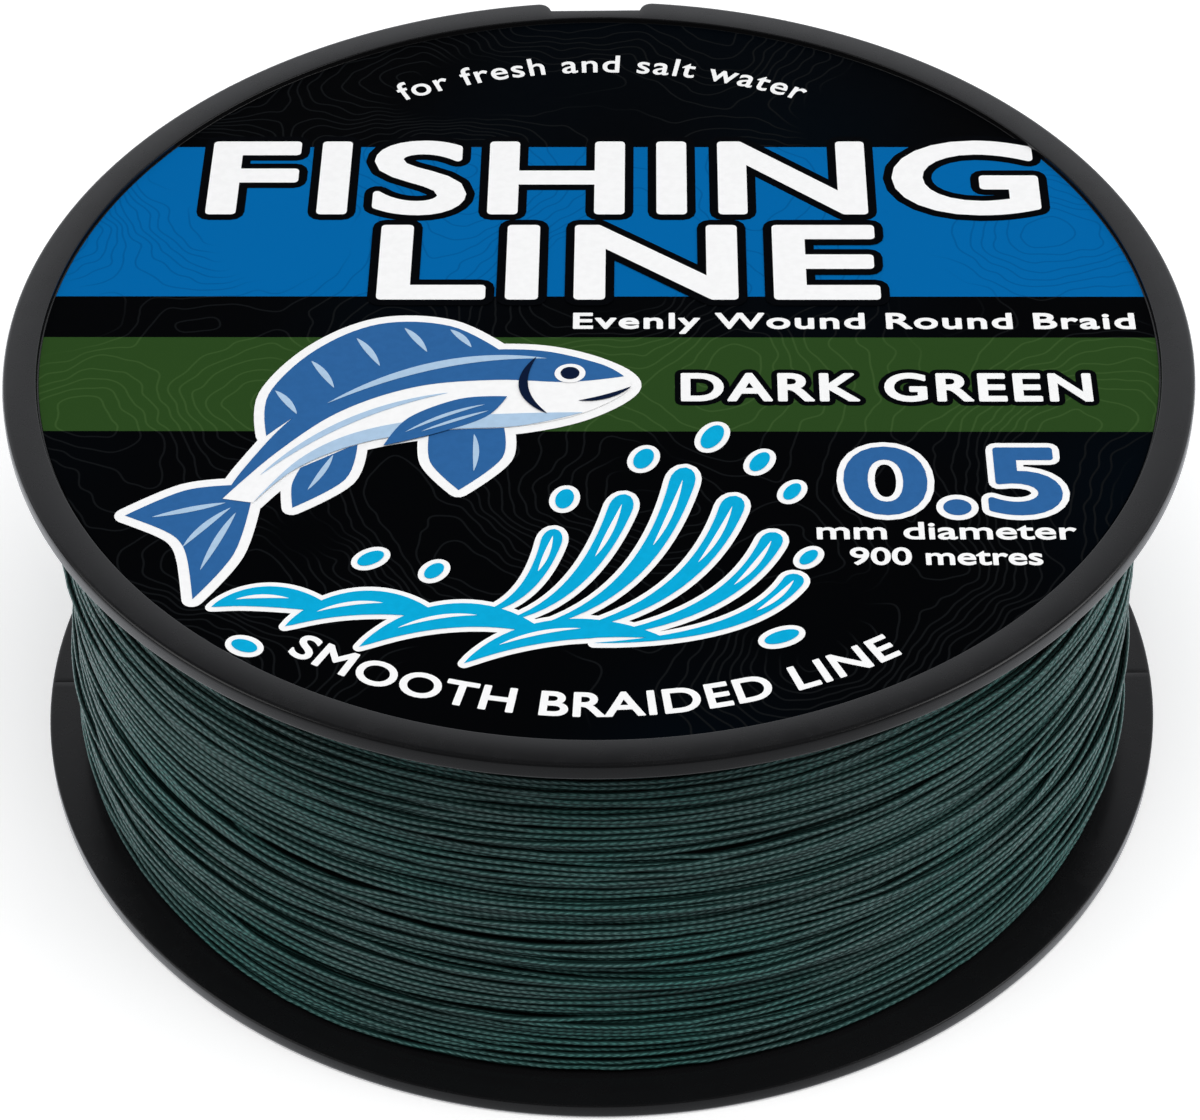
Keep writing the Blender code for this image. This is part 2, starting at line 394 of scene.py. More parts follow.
def clear_tape():
    """Translucent tape: pale, a little wavy, with fine stretch lines along it."""
    material, place = new_material("tape_film")
    wave = place.stretched((1.0, 1.0, 4.0)).noise(260.0, detail=3.0)
    return dressed(material, {
        "Base Color": wave.between((0.50, 0.52, 0.50), (0.62, 0.63, 0.60)),
        "Roughness": wave.remapped(0.3, 0.7, 0.18, 0.34),
        "Alpha": 0.17,
    }, bump=(wave, 0.03 * MM, 0.2))


# ---------------------------------------------------------------- the moulding


def notch_corner():
    """Centre of the circle that rounds the notch's +side shoulder, as (sideways, outwards)."""
    sideways = NOTCH_FLOOR_HALF + NOTCH_SHOULDER
    return sideways, math.sqrt(FLANGE_RADIUS**2 - sideways**2) - NOTCH_SHOULDER


def rim_radius(angle):
    """Radius of the upper flange's rim, which dips at the notch."""
    off = abs(math.remainder(angle - NOTCH_ANGLE, math.tau))
    sideways, outwards = notch_corner()
    floor = FLANGE_RADIUS - NOTCH_DEPTH
    if off <= math.atan2(NOTCH_FLOOR_HALF, floor) + 1e-7:
        return floor / math.cos(off)
    if off >= math.atan2(sideways, outwards + NOTCH_SHOULDER) - 1e-7:
        return FLANGE_RADIUS
    along = sideways * math.sin(off) + outwards * math.cos(off)
    beside = sideways**2 + outwards**2 - NOTCH_SHOULDER**2
    return along + math.sqrt(max(along**2 - beside, 0.0))


def parting_groove(angle):
    """Depth of the fine line that the mould's halves leave on the flanges' inner faces, along X."""
    off = abs(math.remainder(angle, math.pi)) * FLANGE_RADIUS
    return 0.012 * MM * max(0.0, 1 - off / (0.05 * MM))


def moulding_angles():
    even = full_circle(480)
    notch_end = math.atan2(NOTCH_FLOOR_HALF + NOTCH_SHOULDER, FLANGE_RADIUS) + math.radians(0.4)
    kept = [a for a in even if abs(math.remainder(a - NOTCH_ANGLE, math.tau)) > notch_end]
    fine = [NOTCH_ANGLE + notch_end * (2 * i / 90 - 1) for i in range(91)]
    groove = []
    for centre in (0.0, math.pi):
        kept = [a for a in kept if abs(math.remainder(a - centre, math.tau)) > math.radians(0.3)]
        groove += [centre + step * 0.03 * MM / FLANGE_RADIUS for step in (-2, -1, 0, 1, 2)]
    return sorted(a % math.tau for a in kept + fine + groove)


def moulding_profile(angle):
    """Cross-section of both flanges, the barrel, the web and the hub tube."""
    upper, lower = rim_radius(angle), FLANGE_RADIUS
    groove = parting_groove(angle)
    top, seat = HEIGHT, LABEL_SEAT_DEPTH
    fine = 0.12 * MM
    corners = [
        (upper, top, EDGE_ROUND),
        (upper, top - RIM_THICKNESS, INNER_EDGE_ROUND),
        (FLANGE_RADIUS - NOTCH_DEPTH - 2 * EDGE_ROUND, top - RIM_THICKNESS + groove, 0),
        (BARREL_RADIUS, top - ROOT_THICKNESS, 0.5 * MM),
        (BARREL_RADIUS, ROOT_THICKNESS, 0.5 * MM),
        (FLANGE_RADIUS - 4 * EDGE_ROUND, RIM_THICKNESS - groove, 0),
        (lower - EDGE_ROUND, RIM_THICKNESS - groove * 0.6, 0),
        (lower, RIM_THICKNESS, INNER_EDGE_ROUND),
        (lower, 0.0, EDGE_ROUND),
        (LABEL_SEAT_RADIUS, 0.0, fine),
        (LABEL_SEAT_RADIUS, seat, fine),
        (BARREL_INNER_RADIUS, seat, 0.3 * MM),
        (BARREL_INNER_RADIUS, WEB_UNDERSIDE, 0.6 * MM),
        (HUB_RADIUS, WEB_UNDERSIDE, 0.6 * MM),
        (HUB_RADIUS, seat, fine),
        (BORE_RADIUS, seat, 0.4 * MM),
        (BORE_RADIUS, top - seat, fine),
        (LABEL_SEAT_RADIUS, top - seat, fine),
        (LABEL_SEAT_RADIUS, top, fine),
    ]
    return rounded_profile(corners)


def make_ribs():
    """Six ribs between hub and barrel. Each thins a little towards its foot, and its foot is scalloped."""
    work = bmesh.new()
    inner, outer = HUB_RADIUS - 0.6 * MM, BARREL_INNER_RADIUS + 0.6 * MM
    head = WEB_UNDERSIDE + 0.5 * MM
    stations = 13
    for number in range(RIB_COUNT):
        turn = Matrix.Rotation(math.tau * (number + 0.5) / RIB_COUNT, 4, "Z")
        rows = []
        for i in range(stations):
            t = i / (stations - 1)
            r = inner + (outer - inner) * t
            foot = RIB_FOOT + 1.6 * MM * math.sin(math.pi * t) ** 2
            row = []
            for side, z in ((-1, foot), (1, foot), (1, head), (-1, head)):
                half = RIB_THICKNESS / 2 * (0.86 + 0.14 * (z / HEIGHT))
                row.append(work.verts.new(turn @ Vector((r, side * half, z))))
            rows.append(row)
        work.faces.new(rows[0])
        work.faces.new(rows[-1])
        for here, there in zip(rows, rows[1:]):
            for i in range(4):
                j = (i + 1) % 4
                work.faces.new((here[i], here[j], there[j], there[i]))
    bmesh.ops.recalc_face_normals(work, faces=work.faces)
    mesh = bpy.data.meshes.new("rib_helper")
    work.to_mesh(mesh)
    work.free()
    return new_object("rib_helper", mesh)


def joined(obj, other):
    """obj's mesh with other's joined to it by an exact Boolean union. other is removed."""
    modifier = obj.modifiers.new("join", "BOOLEAN")
    modifier.operation, modifier.solver, modifier.object = "UNION", "EXACT", other
    graph = bpy.context.evaluated_depsgraph_get()
    mesh = bpy.data.meshes.new_from_object(obj.evaluated_get(graph))
    obj.modifiers.clear()
    obj.data = mesh
    bpy.data.objects.remove(other)
    mesh.shade_smooth()
    mesh.set_sharp_from_angle(angle=math.radians(35))


def make_moulding(material):
    mesh = turned_mesh("spool_moulding", moulding_profile, moulding_angles())
    body = new_object("spool_moulding", mesh)
    joined(body, make_ribs())
    finish_piece(body, material, "black_plastic", "spool_body")


# ---------------------------------------------------------------- the winding


def smooth_round(values, width):
    """Gaussian smoothing along the last axis of values that close on themselves."""
    count = values.shape[-1]
    frequency = np.fft.rfftfreq(count)
    kernel = np.exp(-2 * (math.pi * frequency * width) ** 2)
    return np.fft.irfft(np.fft.rfft(values) * kernel, count)


class Winding:
    """Lays turn after turn on a round, keeping the height of what lies there on a grid of angle and z."""

    ANGLES = 720
    CELL = 0.04 * MM

    def __init__(self, base_radius, low, high, seed):
        self.random = np.random.default_rng(seed)
        self.low, self.high = low, high
        self.cells = int((high - low) / self.CELL) + 1
        self.top = np.full((self.ANGLES, self.cells), base_radius)
        self.rows = np.arange(self.ANGLES)
        reach = int(STRAND_RADIUS / self.CELL)
        self.offsets = np.arange(-reach, reach + 1)
        self.bulge = np.sqrt(STRAND_RADIUS**2 - (self.offsets * self.CELL) ** 2)

    def cell_of(self, z):
        return np.clip(np.rint((z - self.low) / self.CELL).astype(int), 0, self.cells - 1)

    def resting(self, z):
        """Radius at which a strand's centre rests, for its height z at each angle."""
        at = np.clip(self.cell_of(z)[:, None] + self.offsets, 0, self.cells - 1)
        return (self.top[self.rows[:, None], at] + self.bulge).max(axis=1)

    def settled(self, z, passes):
        """z moved down the sides of what lies below, so that a turn nests between others."""
        step = 0.04 * MM
        for _ in range(passes):
            up, down = self.resting(z + step), self.resting(z - step)
            z = z - np.clip((up - down) * 0.5, -step, step)
            z = smooth_round(z, 5.0)
        return z

    def lay(self, z):
        """Lays one turn at heights z, and gives its centre's radius at each angle."""
        rest = self.resting(z)
        taut = smooth_round(rest, 7.0)
        for _ in range(3):
            taut = smooth_round(np.maximum(taut, rest - 0.03 * MM), 3.0)
        at = self.cell_of(z)[:, None] + self.offsets
        inside = (at >= 0) & (at < self.cells)
        at = np.clip(at, 0, self.cells - 1)
        rows = np.broadcast_to(self.rows[:, None], at.shape)
        new = np.where(inside, taut[:, None] + self.bulge, 0.0)
        np.maximum.at(self.top, (rows, at), new)
        return taut

    def wander(self, width, size):
        wave = smooth_round(self.random.standard_normal(self.ANGLES), width)
        return wave / wave.std() * size


def folded(z, lowest, highest):
    """Heights turned back inside the flanges where they would pass them."""
    z = lowest + np.abs(z - lowest)
    return highest - np.abs(highest - z)


def winding_layers(low, high):
    """The heights and radii of every turn of the layers laid last, the outermost layer last."""
    winding = Winding(WINDING_RADIUS - LAID_DEPTH, low, high, seed=11)
    lowest, highest = low + STRAND_RADIUS, high - STRAND_RADIUS
    layers = []
    for number, pitch in enumerate(LAYER_PITCHES):
        count = int((highest - lowest) / (pitch * MM))
        shared = winding.wander(40, 0.10 * MM)
        turns = []
        for turn in range(count):
            share = (turn + np.linspace(0, 1, Winding.ANGLES, endpoint=False)) / count
            rise = lowest + share * (highest - lowest)
            z = rise if number % 2 == 0 else highest + lowest - rise
            shared = 0.7 * shared + 0.3 * winding.wander(40, 0.16 * MM)
            stray = shared + winding.wander(22, 0.09 * MM) + winding.random.normal(0, 0.11 * MM)
            room = np.clip(np.minimum(z - lowest, highest - z) / (1.6 * MM), 0.05, 1.0)
            z = winding.settled(folded(z + stray * room, lowest, highest), 4)
            z = folded(z, lowest, highest)
            turns.append((z, winding.lay(z)))
        layers.append(turns)
    return layers


def tube_along(name, centres, radius, sides):
    """A closed tube of slightly flattened strand round (angle, radius, z) centres, with its line_uv map."""
    angle, reach, height = centres
    count = len(angle)
    lean = np.linspace(0, math.tau, sides, endpoint=False)
    out = reach[:, None] + radius * 0.96 * np.cos(lean)
    z = height[:, None] + radius * 1.02 * np.sin(lean)
    points = np.stack([out * np.cos(angle)[:, None], out * np.sin(angle)[:, None], z], axis=-1).reshape(-1, 3)
    ends = np.array([[r * math.cos(a), r * math.sin(a), h] for a, r, h in (
        (angle[0], reach[0], height[0]), (angle[-1], reach[-1], height[-1]))])
    points = np.concatenate([points, ends])
    i, j = np.meshgrid(np.arange(count - 1), np.arange(sides), indexing="ij")
    k = (j + 1) % sides
    here, there = i * sides, (i + 1) * sides
    quads = np.stack([here + j, there + j, there + k, here + k], -1).reshape(-1, 4).tolist()
    first, last, rear = len(points) - 2, len(points) - 1, (count - 1) * sides
    caps = [(first, s, (s + 1) % sides) for s in range(sides)]
    caps += [(last, rear + (s + 1) % sides, rear + s) for s in range(sides)]
    along = np.concatenate([[0.0], np.cumsum(np.diff(angle) * reach[:-1])])
    u = along / PICK_LENGTH
    around = np.stack([j, j, j + 1, j + 1], -1).reshape(-1) / sides
    lengthwise = np.stack([u[i], u[i + 1], u[i + 1], u[i]], -1).reshape(-1)
    uv = np.stack([lengthwise, around], -1)
    cap_uv = np.zeros((len(caps) * 3, 2))
    mesh = mesh_of(name, points, quads + caps)
    layer = mesh.uv_layers.new(name="line_uv")
    layer.data.foreach_set("uv", np.concatenate([uv, cap_uv]).astype(np.float32).ravel())
    return mesh


def layer_path(turns, samples):
    """One layer's turns as one continuous path of angle, radius and z."""
    reach, width = 60, 40  # of the eased joins and of the kernel that eases them, in samples
    heights = np.concatenate([z for z, _ in turns])
    radii = np.concatenate([r for _, r in turns])
    # A turn starts where the one before it ends, so each join is eased over 30 degrees to both sides.
    ease = np.exp(-0.5 * (np.arange(-width, width + 1) / 14.0) ** 2)
    ease /= ease.sum()
    eased = []
    for values in (heights, radii):
        padded = np.concatenate([np.full(width, values[0]), values, np.full(width, values[-1])])
        soft = np.convolve(padded, ease, mode="valid")
        near = np.abs((np.arange(len(values)) + reach) % Winding.ANGLES - reach) / reach
        share = np.clip(1 - near, 0, 1) ** 0.5
        eased.append(values * (1 - share) + soft * share)
    at = np.arange(0, len(heights), Winding.ANGLES / samples)
    index = np.arange(len(heights))
    angle = at / Winding.ANGLES * math.tau
    kinks = np.random.default_rng(samples).normal(0, 0.028 * MM, (2, len(at)))
    return angle, np.interp(at, index, eased[1]) + 0.5 * kinks[1], np.interp(at, index, eased[0]) + kinks[0]


def foot_swell(z):
    """How far the last turns stand out where they lie against the lower flange."""
    return 0.8 * MM * np.exp(-((z - RIM_THICKNESS) / (1.6 * MM)) ** 2)


def make_winding(material, deep):
    low = RIM_THICKNESS + 0.06 * MM
    layers = winding_layers(low, HEIGHT - low)
    outermost = np.concatenate([r for _, r in layers[-1]])
    shift = WINDING_RADIUS - CROWN_INSET - (np.percentile(outermost, 92) + STRAND_RADIUS)
    for number, (turns, (samples, sides)) in enumerate(zip(layers[-3:], DRAWN_LAYERS)):
        angle, radius, z = layer_path(turns, samples)
        radius = radius + shift + WINDING_TAPER * (1 - 2 * z / HEIGHT) + foot_swell(z)
        mesh = tube_along(f"line_turns_{number + 1}", (angle, radius, z), STRAND_RADIUS, sides)
        finish_piece(new_object(mesh.name, mesh), material, "moss_braid", "line_outer_layer")
    make_inner_layers(deep)


def make_inner_layers(material):
    """The turns below, as one ring whose sides are scalloped like the turns that it stands for."""
    low, high = INNER_LOW.z - 0.2 * MM, INNER_HIGH.z + 0.2 * MM
    depth = 0.14 * MM
    outer, inner = WINDING_RADIUS - CORE_INSET, BARREL_RADIUS + 0.9 * MM
    steps = int((high - low) / INNER_PITCH) * 4
    heights = [low + (high - low) * i / steps for i in range(steps + 1)]
    section = [(outer - depth * (1 - abs(math.sin(math.pi * (z - low) / INNER_PITCH))), z)
               for z in reversed(heights)]
    section += [(inner, low), (inner, high)]
    mesh = turned_mesh("line_core", lambda angle: section, full_circle(180), sharp=None)
    finish_piece(new_object("line_core", mesh), material, "moss_braid", "line_inner_layers")


# ---------------------------------------------------------------- labels


def make_face_label(material):
    """The round film, its cut edge a little rounded and pressed down."""
    low, high = HEIGHT - LABEL_SEAT_DEPTH + 0.02 * MM, LABEL_TOP
    edge = 0.05 * MM
    rings = [(LABEL_RADIUS - edge, low), (LABEL_RADIUS, low + edge), (LABEL_RADIUS, high - edge)]
    rings += [(LABEL_RADIUS - edge, high)]
    rings += [(LABEL_RADIUS * share, high) for share in (0.97, 0.85, 0.6, 0.3)]
    count = 256
    points = [(r * math.cos(a), r * math.sin(a), z) for r, z in rings for a in full_circle(count)]
    faces = []
    for ring in range(len(rings) - 1):
        for i in range(count):
            j = (i + 1) % count
            here, there = ring * count, (ring + 1) * count
            faces.append((here + i, here + j, there + j, there + i))
    last = (len(rings) - 1) * count
    points += [(0, 0, high), (0, 0, low)]
    for i in range(count):
        j = (i + 1) % count
        faces.append((last + i, last + j, len(points) - 2))
        faces.append((j, i, len(points) - 1))
    mesh = mesh_of("face_label_film", points, faces, sharp=30)
    face_outwards(mesh)
    finish_piece(new_object("face_label_film", mesh), material, "printed_film", "face_label")


def print_level(level):
    return LABEL_TOP + PRINT_STEP * (2 * level - 1)


def word_loops(words, spacing=1.0):
    """The outlines of words in Blender's built-in plain face, as closed loops of (x, y)."""
    curve = bpy.data.curves.new("words", "FONT")
    curve.body = words
    curve.size = 1.0
    curve.space_character = spacing
    curve.fill_mode = "NONE"
    curve.resolution_u = 6
    obj = new_object("words", curve)
    graph = bpy.context.evaluated_depsgraph_get()
    mesh = bpy.data.meshes.new_from_object(obj.evaluated_get(graph))
    bpy.data.objects.remove(obj)
    after = {v.index: [] for v in mesh.vertices}
    for edge in mesh.edges:
        a, b = edge.vertices
        after[a].append(b)
        after[b].append(a)
    loops, seen = [], set()
    for first in after:
        if first in seen or len(after[first]) != 2:
            continue
        loop, here, there = [first], first, after[first][0]
        while there != first:
            loop.append(there)
            ahead = after[there]
            here, there = there, ahead[0] if ahead[0] != here else ahead[1]
        seen.update(loop)
        loops.append(np.array([mesh.vertices[i].co[:2] for i in loop]))
    bpy.data.meshes.remove(mesh)
    return oriented(loops)


def area_of(loop):
    x, y = loop[:, 0], loop[:, 1]
    return 0.5 * float(np.sum(x * np.roll(y, -1) - y * np.roll(x, -1)))


def winding_number(points, loops):
    """How many times the loops go round each point."""
    total = np.zeros(len(points))
    for loop in loops:
        a, b = loop, np.roll(loop, -1, axis=0)
        x, y = points[:, :1], points[:, 1:]
        left = (b[:, 0] - a[:, 0]) * (y - a[:, 1]) - (x - a[:, 0]) * (b[:, 1] - a[:, 1])
        up = (a[:, 1] <= y) & (b[:, 1] > y) & (left > 0)
        down = (a[:, 1] > y) & (b[:, 1] <= y) & (left < 0)
        total += up.sum(axis=1) - down.sum(axis=1)
    return total


def oriented(loops):
    """The loops with outer ones turning left and holes turning right."""
    turned = []
    for i, loop in enumerate(loops):
        others = loops[:i] + loops[i + 1:]
        inside = sum(int(winding_number(loop[:1], [other])[0] != 0) for other in others)
        leftwards = area_of(loop) > 0
        turned.append(loop if leftwards == (inside % 2 == 0) else loop[::-1])
    return turned


def cleaned(loop, least=1e-6):
    keep = np.linalg.norm(loop - np.roll(loop, 1, axis=0), axis=1) > least
    return loop[keep]


def grown(loop, distance):
    """A loop moved outwards by a distance, with rounded corners. filled_mesh drops what crosses over."""
    loop = cleaned(loop)
    count = len(loop)
    ahead = np.roll(loop, -1, axis=0) - loop
    ahead /= np.linalg.norm(ahead, axis=1)[:, None]
    normal = np.stack([ahead[:, 1], -ahead[:, 0]], axis=1)
    points = []
    for i in range(count):
        before, after = normal[i - 1], normal[i]
        turn = ahead[i - 1][0] * ahead[i][1] - ahead[i - 1][1] * ahead[i][0]
        points.append(loop[i] + before * distance)
        if turn < -1e-3:
            points.append(loop[i])
        elif turn > 0.2 or before @ after < 0:
            first, last = math.atan2(before[1], before[0]), math.atan2(after[1], after[0])
            swing = (last - first) % math.tau
            steps = max(2, int(swing / 0.4))
            for step in range(1, steps):
                angle = first + swing * step / steps
                points.append(loop[i] + distance * np.array([math.cos(angle), math.sin(angle)]))
        points.append(loop[i] + after * distance)
    return cleaned(np.array(points))


def filled_mesh(name, loops, thickness):
    """A flat closed slab that fills the loops wherever they go round at least once, and no part twice."""
    loops = [cleaned(loop) for loop in loops]
    points = np.concatenate(loops)
    edges, start = [], 0
    for loop in loops:
        edges += [(start + i, start + (i + 1) % len(loop)) for i in range(len(loop))]
        start += len(loop)
    found = delaunay_2d_cdt([Vector(p) for p in points / MM], edges, [], 0, 1e-4)
    spots = np.array([tuple(v) for v in found[0]]) * MM
    triangles = np.array(found[2])
    centres = spots[triangles].mean(axis=1)
    kept = triangles[winding_number(centres, loops) > 0]
    corners = spots[kept]
    a, b = corners[:, 1] - corners[:, 0], corners[:, 2] - corners[:, 0]
    backwards = a[:, 0] * b[:, 1] - a[:, 1] * b[:, 0] < 0
    kept[backwards] = kept[backwards][:, ::-1]
    used, index = np.unique(kept, return_inverse=True)
    kept, count = index.reshape(-1, 3), len(used)
    sides = {}
    for triangle in kept.tolist():
        for i in range(3):
            sides[(triangle[i], triangle[(i + 1) % 3])] = True
    faces = kept.tolist()
    faces += [(a + count, c + count, b + count) for a, b, c in kept.tolist()]
    faces += [(b, a, a + count, b + count) for a, b in sides if (b, a) not in sides]
    flat = spots[used]
    high = [(x, y, thickness / 2) for x, y in flat]
    low = [(x, y, -thickness / 2) for x, y in flat]
    return mesh_of(name, high + low, faces, smooth=False)


def raised_print(name, loops, level, material, slot="printed_film"):
    """Prints loops on the face label, at a level of ink."""
    mesh = filled_mesh(name, loops, PRINT_STEP)
    mesh.transform(Matrix.Translation((0, 0, print_level(level))) @ Matrix.Rotation(LABEL_TURN, 4, "Z"))
    finish_piece(new_object(name, mesh), material, slot)


def fitted_words(words, box, spacing=1.0, bend=None):
    """The words' outlines scaled to fill a box (left, low, right, high) and bent on an arc if asked."""
    loops = word_loops(words, spacing)
    every = np.concatenate(loops)
    low, high = every.min(axis=0), every.max(axis=0)
    scale = (np.array(box[2:]) - np.array(box[:2])) / (high - low)
    loops = [np.array(box[:2]) + (loop - low) * scale for loop in loops]
    if bend:
        loops = [bend(denser(loop)) for loop in loops]
    return loops


def denser(loop, longest=0.6 * MM):
    """The loop with its long edges divided."""
    points = []
    for here, there in zip(loop, np.roll(loop, -1, axis=0)):
        steps = max(1, int(np.linalg.norm(there - here) / longest))
        points += [here + (there - here) * step / steps for step in range(steps)]
    return np.array(points)


def print_words(name, words, box, level, inks, weight=0.0, outline=0.0, spacing=1.0, bend=None):
    """Words in a box in mm, as in fitted_words. weight thickens them and outline adds a rim under them."""
    face, edge = inks
    left, low, right, high = (v * MM for v in box)
    box = (left + weight, low + weight, right - weight, high - weight)
    loops = fitted_words(words, box, spacing, bend)
    if outline:
        raised_print(name + "_edge", [grown(loop, weight + outline) for loop in loops], level, edge)
    heavy = [grown(loop, weight) for loop in loops] if weight else loops
    raised_print(name, heavy, level + 1 if outline else level, face)


def arc(radius, side):
    """Wraps flat words round the label's centre, along its top (side 1) or along its bottom (side -1)."""

    def bend(loop):
        angle, r = side * (math.radians(90) - loop[:, 0] / radius), radius + side * loop[:, 1]
        return np.stack([r * np.cos(angle), r * np.sin(angle)], axis=1)

    return bend


def through(points, steps=8):
    """A closed smooth outline through points, in mm. A point with a third value is a sharp corner."""
    count = len(points)
    outline = []
    for i in range(count):
        here, there = points[i], points[(i + 1) % count]
        before, after = points[i - 1], points[(i + 2) % count]
        a, b = Vector(here[:2]), Vector(there[:2])
        leave = Vector((0, 0)) if len(here) > 2 else (b - Vector(before[:2])) * 0.5
        arrive = Vector((0, 0)) if len(there) > 2 else (Vector(after[:2]) - a) * 0.5
        for step in range(steps):
            t = step / steps
            h1, h2 = 2 * t**3 - 3 * t**2 + 1, -2 * t**3 + 3 * t**2
            h3, h4 = t**3 - 2 * t**2 + t, t**3 - t**2
            outline.append(tuple(a * h1 + b * h2 + leave * h3 + arrive * h4))
    loop = np.array(outline) * MM
    return loop if area_of(loop) > 0 else loop[::-1]


def stroke(start, middle, end, width, head=False, steps=24):
    """A stroke in mm that bends towards middle, pointed at both ends or with a round head at its end."""
    a, m, b = (np.array(p, dtype=float) for p in (start, middle, end))
    t = np.linspace(0, 1, steps + 1)[:, None]
    if head:
        t = 1 - (1 - t) ** 1.6
    spine = a * (1 - t) ** 2 + 2 * m * t * (1 - t) + b * t**2
    ahead = 2 * (m - a) * (1 - t) + 2 * (b - m) * t
    ahead /= np.linalg.norm(ahead, axis=1)[:, None]
    side = np.stack([-ahead[:, 1], ahead[:, 0]], axis=1)
    half = 0.5 * width * np.sin(math.pi * t) ** 0.8
    if head:
        cap = 0.6 * width / np.linalg.norm(b - a)
        half = 0.5 * width * t**0.8 * np.sqrt(np.clip(1 - np.clip((t - 1 + cap) / cap, 0, 1) ** 2, 0, 1))
    loop = np.concatenate([spine + side * half, (spine - side * half)[-2:0:-1]]) * MM
    return loop if area_of(loop) > 0 else loop[::-1]


def stretch_of(path, first, last):
    """The start, bend and end of a stretch of a stroke's curve, from share first to share last of it."""
    a, m, b = (np.array(p, dtype=float) for p in path)
    return [(1 - s) * (1 - t) * a + (s * (1 - t) + t * (1 - s)) * m + s * t * b
            for s, t in ((first, first), (first, last), (last, last))]


def placed(loop, centre, size=1.0, tilt=0.0):
    turn = math.radians(tilt)
    across = np.array([[math.cos(turn), math.sin(turn)], [-math.sin(turn), math.cos(turn)]])
    return loop @ across * size + np.array(centre) * MM


def ellipse(centre, long_radius, short_radius, tilt=0.0, steps=28):
    angle = np.linspace(0, math.tau, steps, endpoint=False)
    flat = np.stack([long_radius * np.cos(angle), short_radius * np.sin(angle)], axis=1)
    return placed(flat * MM, centre, tilt=tilt)


# A plain leaping fish in mm, head to the right, its body bowed upwards.
FISH_BODY = [
    (21, 3.4), (18.5, 7.4), (12.5, 10.8), (4.0, 12.0), (-5.0, 10.2), (-12.5, 5.6), (-18.2, -0.8),
    (-21.0, -5.0, 1), (-18.2, -6.2, 1), (-13.5, -2.2), (-7.0, 0.2), (1.0, 0.6), (9.0, -0.4), (16.0, 0.4),
]
FISH_BACK = [
    (20.6, 4.9, 1), (18.5, 7.4), (12.5, 10.8), (4.0, 12.0), (-5.0, 10.2), (-12.5, 5.6), (-18.2, -0.8),
    (-21.0, -5.0, 1), (-15.0, 0.6), (-8.0, 5.4), (0.0, 7.6), (8.0, 7.0), (15.0, 5.2),
]
FISH_SHADE = [
    (-18.2, -6.2, 1), (-13.5, -2.2), (-7.0, 0.2), (1.0, 0.6), (9.0, -0.4), (15.5, 0.3, 1),
    (9.0, 1.5), (1.0, 2.5), (-7.0, 1.9), (-13.0, -0.9),
]
FISH_TAIL = [
    (-19.6, -3.2, 1), (-24.5, -3.0), (-30.5, -5.4, 1), (-27.2, -8.2), (-25.8, -10.2), (-25.4, -13.0),
    (-25.6, -18.4, 1), (-21.0, -13.0), (-18.4, -6.0, 1),
]
FISH_TOP_FIN = [
    (9.5, 11.2, 1), (5.0, 16.4), (-2.0, 18.2), (-9.0, 15.4), (-14.5, 9.6), (-15.6, 3.4, 1), (-5.0, 9.8),
]
FISH_LOW_FIN = [(7.5, 0.4, 1), (6.5, -4.6), (1.5, -8.4, 1), (-0.5, -3.8), (0.2, 0.8, 1)]
FISH_REAR_FIN = [(-7.0, 0.4, 1), (-9.0, -4.6), (-14.6, -7.6, 1), (-14.2, -4.4), (-13.0, -2.0, 1)]
FISH_SIDE_FIN = [(8.6, 4.2, 1), (4.0, 4.8), (-1.5, 3.0), (-4.6, -0.6, 1), (1.0, 0.2), (6.0, 1.6)]
# Its fine lines: start, bend and end of each, and its width.
FISH_TAIL_RAYS = [
    ((-20.8, -5.6), (-24.0, -5.8), (-28.0, -6.2), 0.7), ((-20.4, -6.4), (-23.5, -8.4), (-25.6, -11.0), 0.7),
    ((-20.0, -7.2), (-22.2, -10.4), (-24.4, -14.6), 0.7),
]
FISH_LOW_RAYS = [
    ((4.4, -0.6), (4.4, -3.0), (3.4, -6.0), 0.6), ((-9.6, -0.8), (-10.8, -3.0), (-12.8, -5.4), 0.6),
]
FISH_SIDE_RAYS = [((6.2, 3.4), (2.0, 3.0), (-2.2, 0.9), 0.45), ((6.4, 2.4), (3.0, 1.8), (-0.6, 0.7), 0.4)]
FISH_BACK_LINES = [
    ((13.6, 9.2), (3.0, 12.8), (-9.0, 6.9), 1.1), ((-17.0, -2.4), (-8.0, 5.6), (3.0, 6.0), 0.8),
]
FISH_DARK_LINES = [((12.6, 9.6), (8.6, 5.2), (12.0, 0.8), 0.95), ((20.9, 3.1), (18.4, 1.7), (15.4, 2.1), 0.6)]
# Its top fin's rays: the foot of each, and how far it rises.
FISH_TOP_RAYS = [(6.5, 12.6, 3.2), (2.0, 12.8, 4.2), (-3.0, 11.6, 4.8), (-8.0, 9.2, 4.6), (-12.2, 6.0, 4.0)]
FISH_PLACE = (-15.2, -13.2)
FISH_SIZE = 0.92
FISH_TILT = 12


